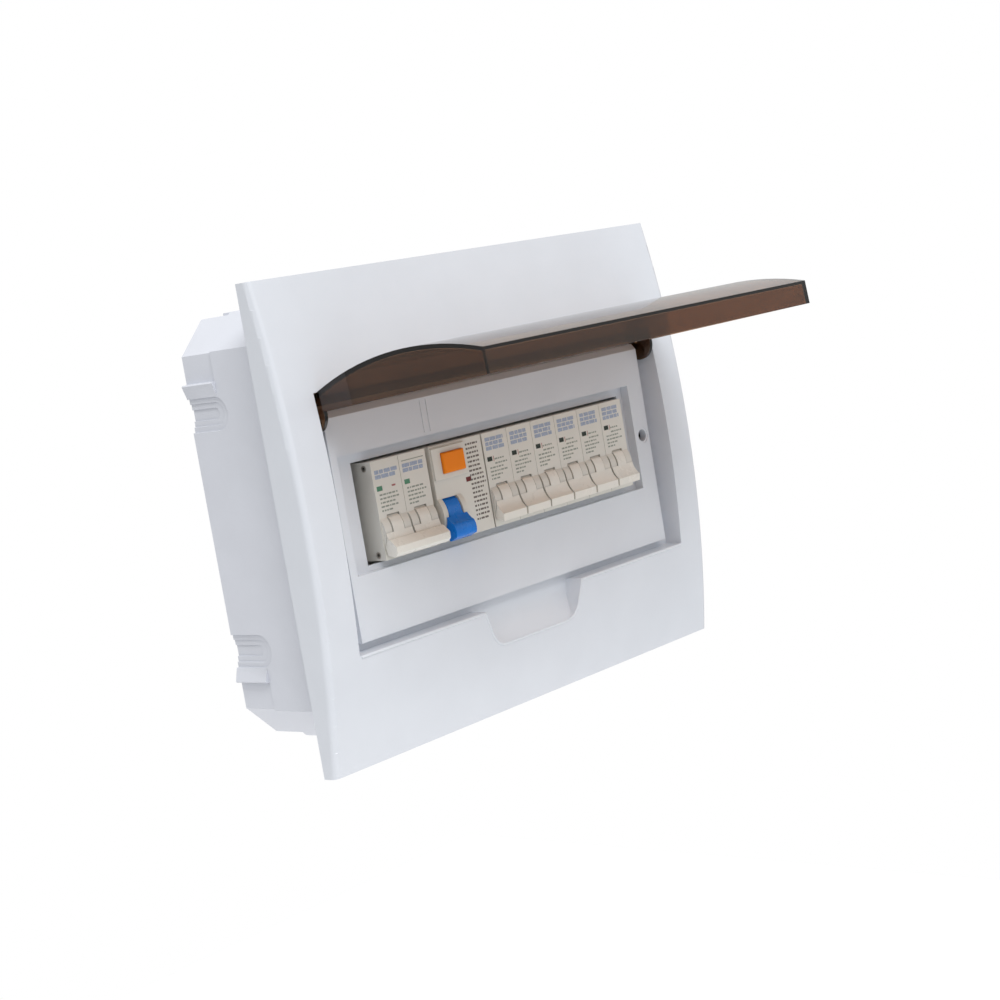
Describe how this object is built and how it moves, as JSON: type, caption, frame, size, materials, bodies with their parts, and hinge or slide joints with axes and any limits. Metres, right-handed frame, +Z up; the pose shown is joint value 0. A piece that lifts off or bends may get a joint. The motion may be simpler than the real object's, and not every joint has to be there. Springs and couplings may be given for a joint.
{
  "type": "flush distribution board",
  "caption": "Flush-mounted breaker panel box: moulded back box, arched fascia with a hinged smoked door, and rail-mounted breakers behind its window.",
  "frame": {"origin": "centre of the back box's rear face, which is also the centre of its four wall-screw holes", "axes": "+X right, +Y into the wall, +Z up; the door and the breaker toggles face -Y"},
  "size_m": [0.28, 0.1761, 0.219],
  "materials": {
    "bar_brass": "drawn",
    "blue_plastic": "smooth",
    "box_plastic": "fine moulded texture",
    "breaker_plastic": "satin moulded",
    "clip_plastic": "satin",
    "earth_green_plastic": "satin",
    "fascia_plastic": "semi-gloss",
    "flag_dark_green": "flat",
    "flag_dark_red": "flat",
    "flag_green": "flat",
    "neutral_blue_plastic": "satin",
    "orange_plastic": "smooth",
    "rail_steel": "zinc plated",
    "rivet_steel": "plated",
    "screw_steel": "zinc plated",
    "smoked_plastic": "clear smoked",
    "toggle_plastic": "smooth"
  },
  "bodies": {
    "board": {"back_box": "box_plastic", "bar_holder_screws": "screw_steel", "breaker_1_housing": "breaker_plastic", "breaker_2_housing": "breaker_plastic", "breaker_3_housing": "breaker_plastic", "breaker_4_housing": "breaker_plastic", "breaker_5_housing": "breaker_plastic", "breaker_6_housing": "breaker_plastic", "breaker_flags": "flag_dark_green", "din_rail": "rail_steel", "earth_bar": "bar_brass", "earth_bar_holder": "earth_green_plastic", "earth_bar_screws": "screw_steel", "fascia": "fascia_plastic", "fascia_screw": "screw_steel", "housing_rivets": "rivet_steel", "main_breaker_flags": "flag_green", "main_breaker_left_housing": "breaker_plastic", "main_breaker_right_housing": "breaker_plastic", "neutral_bar": "bar_brass", "neutral_bar_holder": "neutral_blue_plastic", "neutral_bar_screws": "screw_steel", "rail_screws": "screw_steel", "rcd_flag": "flag_dark_red", "rcd_housing": "breaker_plastic", "terminal_clamps": "screw_steel", "terminal_screws": "screw_steel"},
    "door": {"door": "smoked_plastic"},
    "main_toggle": {"main_breaker_left_toggle": "toggle_plastic", "main_breaker_right_toggle": "toggle_plastic", "main_breaker_tie_handle": "toggle_plastic"},
    "rcd_toggle": {"rcd_toggle": "blue_plastic"},
    "breaker_1_toggle": {"breaker_1_toggle": "toggle_plastic"},
    "breaker_2_toggle": {"breaker_2_toggle": "toggle_plastic"},
    "breaker_3_toggle": {"breaker_3_toggle": "toggle_plastic"},
    "breaker_4_toggle": {"breaker_4_toggle": "toggle_plastic"},
    "breaker_5_toggle": {"breaker_5_toggle": "toggle_plastic"},
    "breaker_6_toggle": {"breaker_6_toggle": "toggle_plastic"},
    "rcd_test_button": {"rcd_test_button": "orange_plastic"},
    "breaker_1_rail_clip": {"breaker_1_rail_clip": "clip_plastic"},
    "breaker_2_rail_clip": {"breaker_2_rail_clip": "clip_plastic"},
    "breaker_3_rail_clip": {"breaker_3_rail_clip": "clip_plastic"},
    "breaker_4_rail_clip": {"breaker_4_rail_clip": "clip_plastic"},
    "breaker_5_rail_clip": {"breaker_5_rail_clip": "clip_plastic"},
    "breaker_6_rail_clip": {"breaker_6_rail_clip": "clip_plastic"},
    "main_breaker_left_rail_clip": {"main_breaker_left_rail_clip": "clip_plastic"},
    "main_breaker_right_rail_clip": {"main_breaker_right_rail_clip": "clip_plastic"},
    "rcd_rail_clip": {"rcd_rail_clip": "clip_plastic"}
  },
  "joints": [
    {"name": "door_hinge", "type": "hinge", "parent": "board", "child": "door", "pos_m": [0, -0.0675, 0.0505], "axis": [-1, 0, 0], "range_deg": [-94.3, 0]},
    {"name": "main_breaker_toggle", "type": "hinge", "parent": "board", "child": "main_toggle", "pos_m": [-0.0721, -0.0616, -0.01], "axis": [-1, 0, 0], "range_deg": [0, 38]},
    {"name": "rcd_toggle", "type": "hinge", "parent": "board", "child": "rcd_toggle", "pos_m": [-0.0433, -0.0616, -0.01], "axis": [-1, 0, 0], "range_deg": [0, 38]},
    {"name": "breaker_1_toggle", "type": "hinge", "parent": "board", "child": "breaker_1_toggle", "pos_m": [-0.0059, -0.0616, -0.01], "axis": [-1, 0, 0], "range_deg": [0, 38]},
    {"name": "breaker_2_toggle", "type": "hinge", "parent": "board", "child": "breaker_2_toggle", "pos_m": [0.0121, -0.0616, -0.01], "axis": [-1, 0, 0], "range_deg": [0, 38]},
    {"name": "breaker_3_toggle", "type": "hinge", "parent": "board", "child": "breaker_3_toggle", "pos_m": [0.0301, -0.0616, -0.01], "axis": [-1, 0, 0], "range_deg": [0, 38]},
    {"name": "breaker_4_toggle", "type": "hinge", "parent": "board", "child": "breaker_4_toggle", "pos_m": [0.0481, -0.0616, -0.01], "axis": [-1, 0, 0], "range_deg": [0, 38]},
    {"name": "breaker_5_toggle", "type": "hinge", "parent": "board", "child": "breaker_5_toggle", "pos_m": [0.0661, -0.0616, -0.01], "axis": [-1, 0, 0], "range_deg": [0, 38]},
    {"name": "breaker_6_toggle", "type": "hinge", "parent": "board", "child": "breaker_6_toggle", "pos_m": [0.0841, -0.0616, -0.01], "axis": [-1, 0, 0], "range_deg": [0, 38]},
    {"name": "rcd_test_button", "type": "slide", "parent": "board", "child": "rcd_test_button", "axis": [0, 1, 0], "range_m": [0, 0.0018], "stiffness_N_per_m": 400, "springref_m": -0.0008},
    {"name": "breaker_1_rail_clip_slide", "type": "slide", "parent": "board", "child": "breaker_1_rail_clip", "axis": [0, 0, -1], "range_m": [0, 0.0035], "stiffness_N_per_m": 600, "springref_m": -0.001},
    {"name": "breaker_2_rail_clip_slide", "type": "slide", "parent": "board", "child": "breaker_2_rail_clip", "axis": [0, 0, -1], "range_m": [0, 0.0035], "stiffness_N_per_m": 600, "springref_m": -0.001},
    {"name": "breaker_3_rail_clip_slide", "type": "slide", "parent": "board", "child": "breaker_3_rail_clip", "axis": [0, 0, -1], "range_m": [0, 0.0035], "stiffness_N_per_m": 600, "springref_m": -0.001},
    {"name": "breaker_4_rail_clip_slide", "type": "slide", "parent": "board", "child": "breaker_4_rail_clip", "axis": [0, 0, -1], "range_m": [0, 0.0035], "stiffness_N_per_m": 600, "springref_m": -0.001},
    {"name": "breaker_5_rail_clip_slide", "type": "slide", "parent": "board", "child": "breaker_5_rail_clip", "axis": [0, 0, -1], "range_m": [0, 0.0035], "stiffness_N_per_m": 600, "springref_m": -0.001},
    {"name": "breaker_6_rail_clip_slide", "type": "slide", "parent": "board", "child": "breaker_6_rail_clip", "axis": [0, 0, -1], "range_m": [0, 0.0035], "stiffness_N_per_m": 600, "springref_m": -0.001},
    {"name": "main_breaker_left_rail_clip_slide", "type": "slide", "parent": "board", "child": "main_breaker_left_rail_clip", "axis": [0, 0, -1], "range_m": [0, 0.0035], "stiffness_N_per_m": 600, "springref_m": -0.001},
    {"name": "main_breaker_right_rail_clip_slide", "type": "slide", "parent": "board", "child": "main_breaker_right_rail_clip", "axis": [0, 0, -1], "range_m": [0, 0.0035], "stiffness_N_per_m": 600, "springref_m": -0.001},
    {"name": "rcd_rail_clip_slide", "type": "slide", "parent": "board", "child": "rcd_rail_clip", "axis": [0, 0, -1], "range_m": [0, 0.0035], "stiffness_N_per_m": 600, "springref_m": -0.001}
  ]
}
